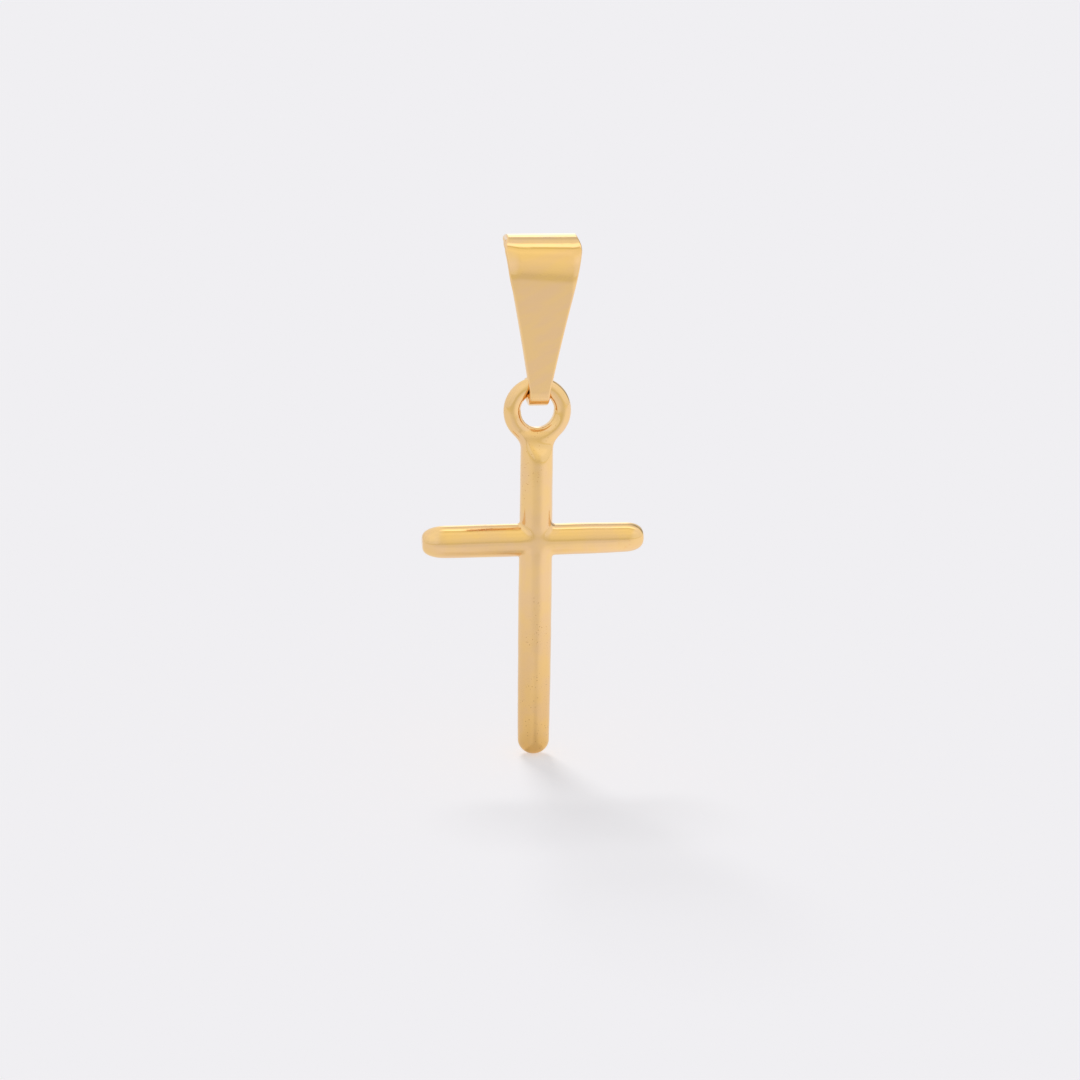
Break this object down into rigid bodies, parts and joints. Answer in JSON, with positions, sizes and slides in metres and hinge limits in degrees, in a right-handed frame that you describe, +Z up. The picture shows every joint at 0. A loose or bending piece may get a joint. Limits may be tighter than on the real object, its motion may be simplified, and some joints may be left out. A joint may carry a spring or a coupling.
{
  "type": "cross pendant",
  "caption": "Plain cross of round bars with domed ends, hung by a soldered ring eye from a folded bail that tapers to its foot.",
  "frame": {"origin": "inside crown of the bail's fold, on the middle line, where a chain bears", "axes": "+Z up the plumb line, -Y the front of the bail, +X to the right seen from the front"},
  "size_m": [0.013, 0.0044, 0.0307],
  "materials": {
    "bail_gold": "polished gold plate with fine cross brushing on the leaves",
    "cross_gold": "tumble polished gold plate with faint casting waves"
  },
  "bodies": {
    "bail": {"bail": "bail_gold"},
    "cross": {"cross": "cross_gold"}
  },
  "joints": [
    {"name": "cross_swing", "type": "hinge", "parent": "bail", "child": "cross", "pos_m": [0, 0, -0.00841], "axis": [1, 0, 0], "range_deg": [-110, 110]}
  ]
}
